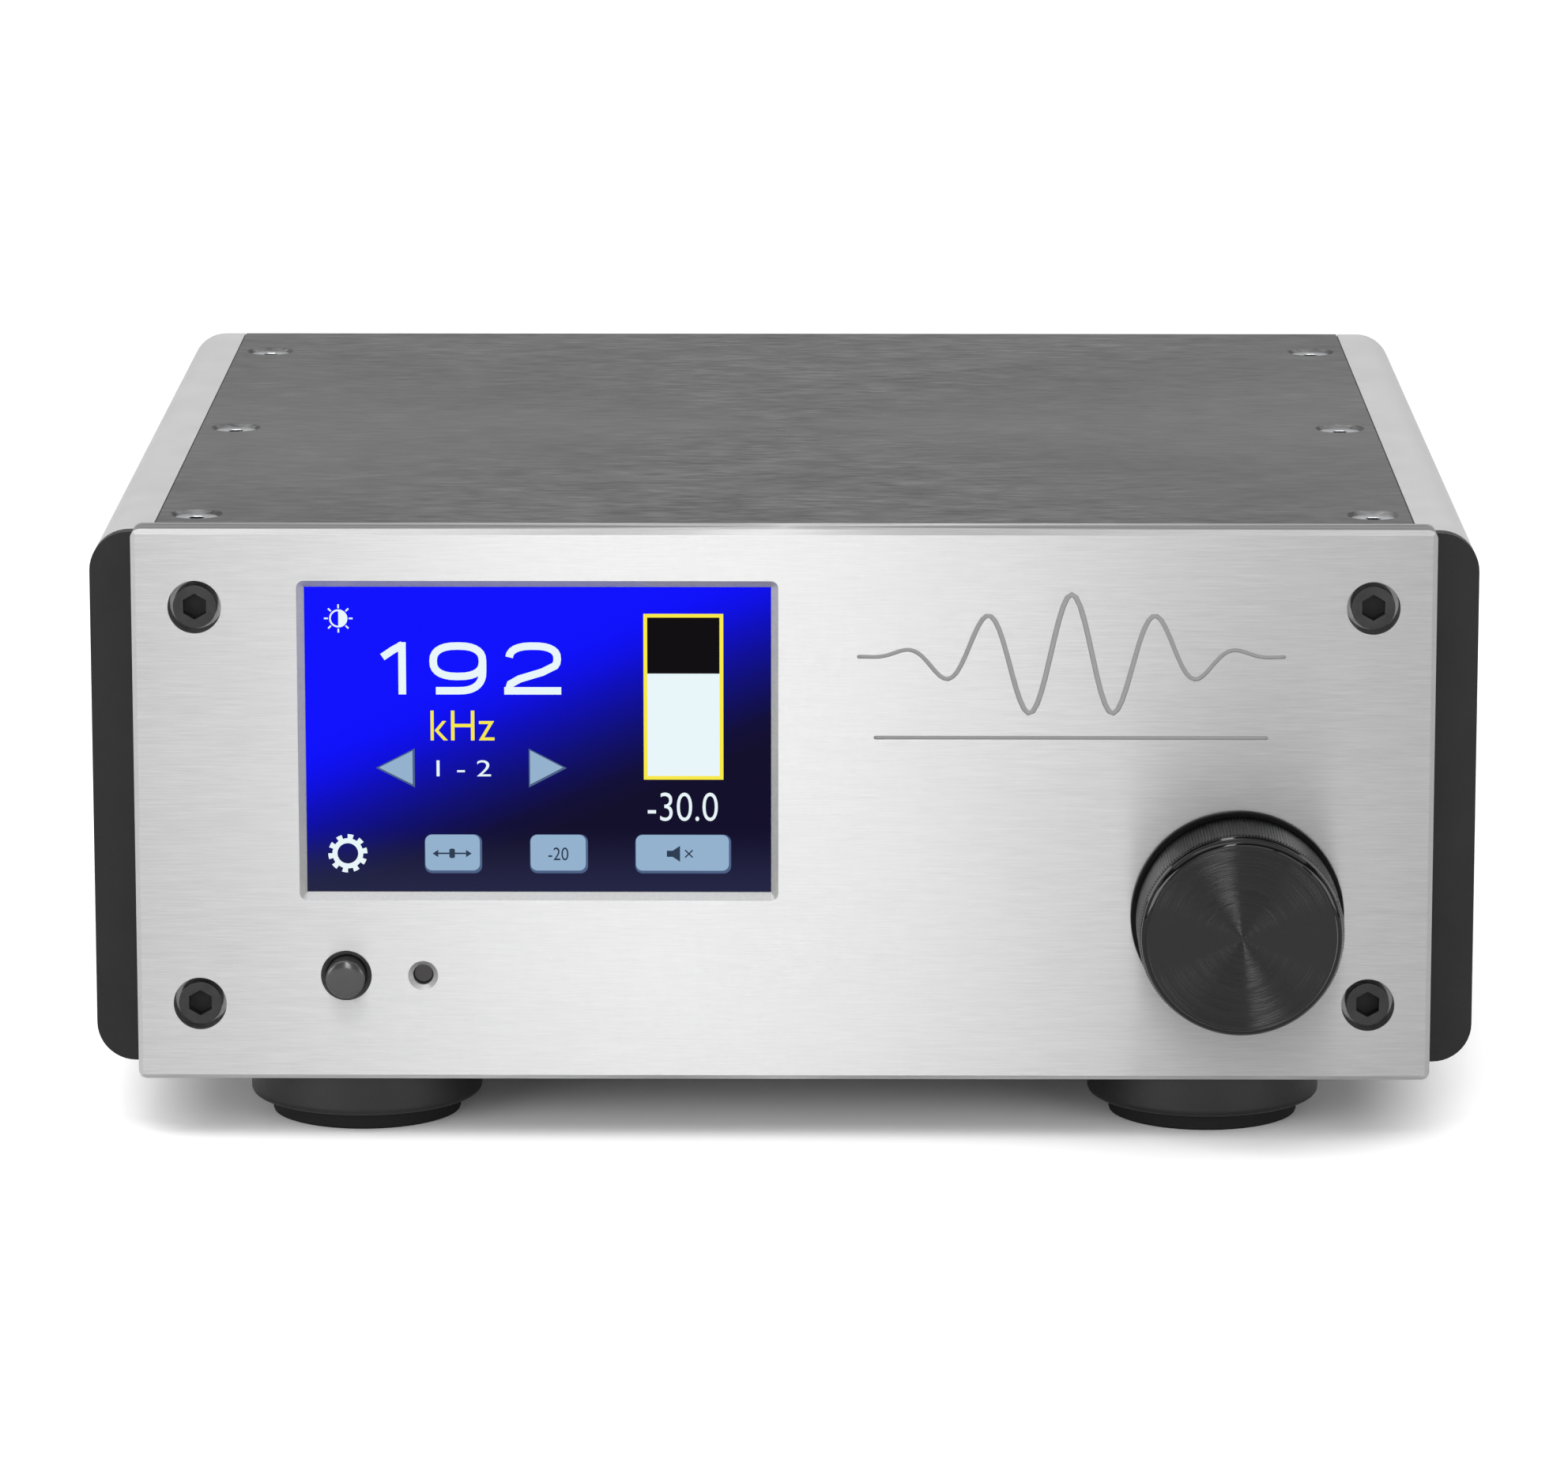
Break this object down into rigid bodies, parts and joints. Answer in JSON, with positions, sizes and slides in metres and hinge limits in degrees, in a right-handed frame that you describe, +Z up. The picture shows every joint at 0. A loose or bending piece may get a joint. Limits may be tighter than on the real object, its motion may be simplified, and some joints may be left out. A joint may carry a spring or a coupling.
{
  "type": "desktop dac",
  "caption": "Half-width desktop audio converter and preamplifier: brushed front plate with a colour touch screen, power button and knurled volume knob, black case on round feet.",
  "frame": {"origin": "On the table, under the middle of the whole object's box.", "axes": "+X to the right of someone facing the front plate, +Y towards the back, +Z up. The knob and screen face -Y."},
  "size_m": [0.2196, 0.245, 0.0989],
  "materials": {
    "brushed_aluminium": "clear anodised, brushed along its length",
    "satin_aluminium": "bead-blasted, clear anodised",
    "dark_aluminium": "brushed across, dark grey anodised",
    "black_aluminium": "black anodised, satin",
    "knob_aluminium": "turned and knurled, black anodised",
    "black_steel": "black oxide",
    "zinc_steel": "zinc plated",
    "tinned_steel": "bright tin plate",
    "rubber": "matt moulded",
    "black_plastic": "moulded, fine texture",
    "screen": "coloured display under clear glass",
    "lens_plastic": "infrared-clear dark red",
    "circuit_board": "green solder mask",
    "white_plastic": "moulded",
    "red_plastic": "moulded",
    "orange_plastic": "moulded",
    "gold_plate": "gold plated",
    "winding_tape": "amber polyester tape over copper windings",
    "capacitor_sleeve": "shrunk blue sleeve",
    "wire_insulation": "stranded copper in coloured insulation",
    "ribbon_insulation": "flat grey cable",
    "glass_fuse": "glass tube with nickel caps"
  },
  "bodies": {
    "case": {"front_plate": "brushed_aluminium", "front_plate_screws": "black_steel", "front_subpanel": "black_aluminium", "side_rail_left": "satin_aluminium", "side_rail_right": "satin_aluminium", "top_cover": "dark_aluminium", "top_cover_screws": "zinc_steel", "base_plate": "black_aluminium", "base_plate_screws": "black_steel", "rear_panel": "black_aluminium", "rear_panel_screws": "black_steel", "foot_front_left": "black_plastic", "foot_front_right": "black_plastic", "foot_rear_left": "black_plastic", "foot_rear_right": "black_plastic", "foot_pads": "rubber", "foot_screws": "zinc_steel", "display_glass": "screen", "display_module": "tinned_steel", "front_board": "circuit_board", "board_standoffs": "zinc_steel", "board_screws": "zinc_steel", "sensor_lens": "lens_plastic", "infrared_receiver": "black_plastic", "encoder_body": "tinned_steel", "encoder_nut": "zinc_steel", "power_switch": "black_plastic", "main_board": "circuit_board", "power_board": "circuit_board", "board_chips": "black_plastic", "signal_relays": "white_plastic", "toroidal_transformer": "winding_tape", "transformer_washer": "zinc_steel", "transformer_bolt": "black_steel", "reservoir_capacitors": "capacitor_sleeve", "regulator_heatsink": "black_aluminium", "regulators": "black_plastic", "ribbon_cable": "ribbon_insulation", "ribbon_headers": "black_plastic", "power_leads": "wire_insulation", "mains_inlet": "black_plastic", "mains_pins": "tinned_steel", "xlr_output_sockets": "black_plastic", "xlr_output_pins": "gold_plate", "xlr_input_sockets": "black_plastic", "socket_screws": "zinc_steel", "phono_shells": "gold_plate", "phono_housings": "black_plastic", "phono_cores_left": "white_plastic", "phono_cores_right": "red_plastic", "phono_core_digital": "orange_plastic", "usb_socket": "tinned_steel"},
    "volume_knob": {"volume_knob": "knob_aluminium", "knob_set_screw": "black_steel", "encoder_shaft": "zinc_steel"},
    "power_button": {"power_button": "knob_aluminium"},
    "xlr_latch_left": {"xlr_latch_left": "tinned_steel"},
    "xlr_latch_right": {"xlr_latch_right": "tinned_steel"},
    "fuse_drawer": {"fuse_drawer": "black_plastic", "fuse": "glass_fuse"}
  },
  "joints": [
    {"name": "volume_turn", "type": "hinge", "parent": "case", "child": "volume_knob", "pos_m": [0.0718, -0.10397, 0.0374], "axis": [0, 1, 0], "continuous": true},
    {"name": "power_press", "type": "slide", "parent": "case", "child": "power_button", "axis": [0, 1, 0], "range_m": [0, 0.0008], "stiffness_N_per_m": 1200, "springref_m": -0.0004},
    {"name": "left_release_press", "type": "slide", "parent": "case", "child": "xlr_latch_left", "axis": [0, -1, 0], "range_m": [0, 0.0015], "stiffness_N_per_m": 800, "springref_m": -0.0005},
    {"name": "right_release_press", "type": "slide", "parent": "case", "child": "xlr_latch_right", "axis": [0, -1, 0], "range_m": [0, 0.0015], "stiffness_N_per_m": 800, "springref_m": -0.0005},
    {"name": "fuse_drawer_slide", "type": "slide", "parent": "case", "child": "fuse_drawer", "axis": [0, 1, 0], "range_m": [0, 0.02]}
  ]
}
